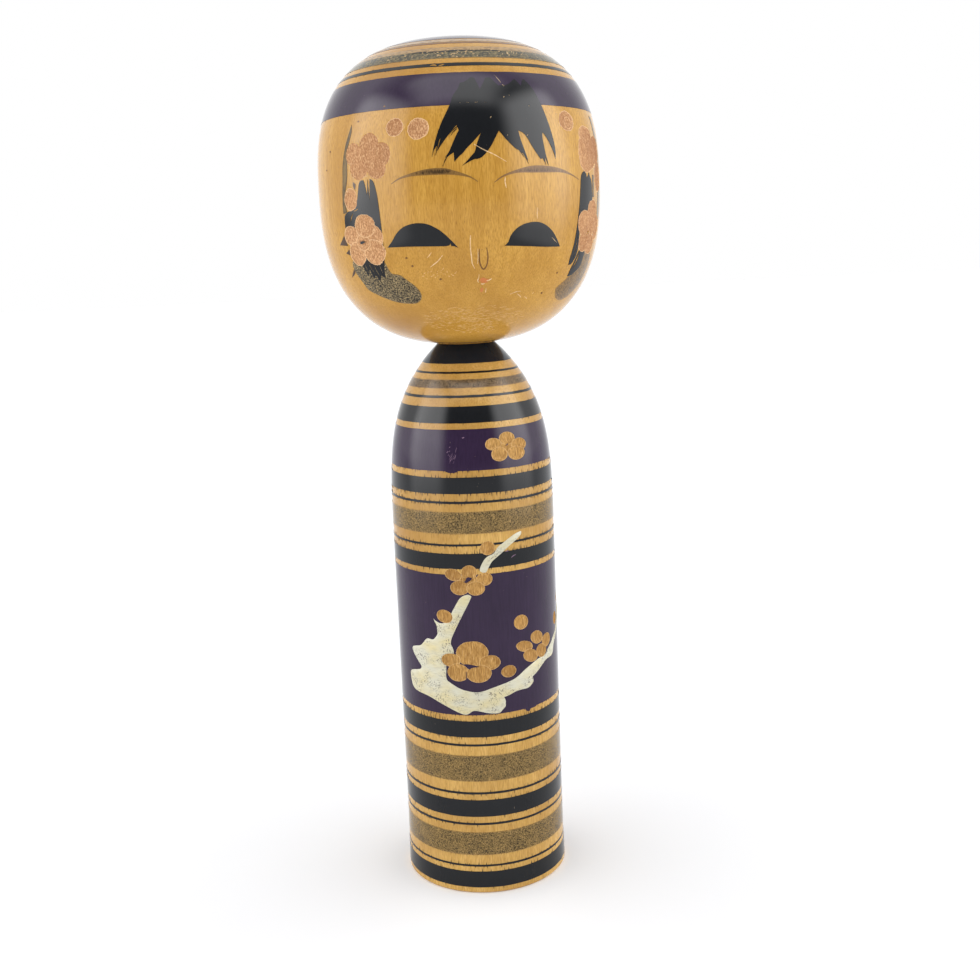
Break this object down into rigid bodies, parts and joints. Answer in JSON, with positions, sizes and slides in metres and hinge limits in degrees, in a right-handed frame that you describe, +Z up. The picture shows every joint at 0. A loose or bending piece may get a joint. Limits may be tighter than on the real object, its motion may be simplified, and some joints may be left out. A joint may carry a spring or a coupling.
{
  "type": "kokeshi doll",
  "caption": "Turned wooden doll that stands on a flat base: a tall cylindrical torso with a domed shoulder and a large rounded head that turns on a captive peg.",
  "frame": {"origin": "centre of the flat base, on the surface that the doll stands on", "axes": "+Z up along the lathe axis; the face looks along -Y; +X is to the right as one looks at the face"},
  "size_m": [0.0788, 0.0788, 0.242],
  "materials": {
    "torso_wood": "seasoned light wood, lathe-turned and varnished",
    "head_wood": "seasoned light wood, lathe-turned and varnished",
    "peg_wood": "bare turned wood",
    "black_ink": "black ink and paint under clear varnish",
    "purple_dye": "dark purple dye under clear varnish",
    "cream_paint": "thick raised cream paint, flecked",
    "bare_scoop": "bare gouged wood without varnish",
    "red_paint": "worn red paint"
  },
  "bodies": {
    "torso": {"torso": "torso_wood"},
    "head": {"head": "head_wood", "neck_peg": "peg_wood"}
  },
  "joints": [
    {"name": "head_turn", "type": "hinge", "parent": "torso", "child": "head", "pos_m": [0, 0, 0.1595], "axis": [0, 0, 1], "continuous": true}
  ]
}
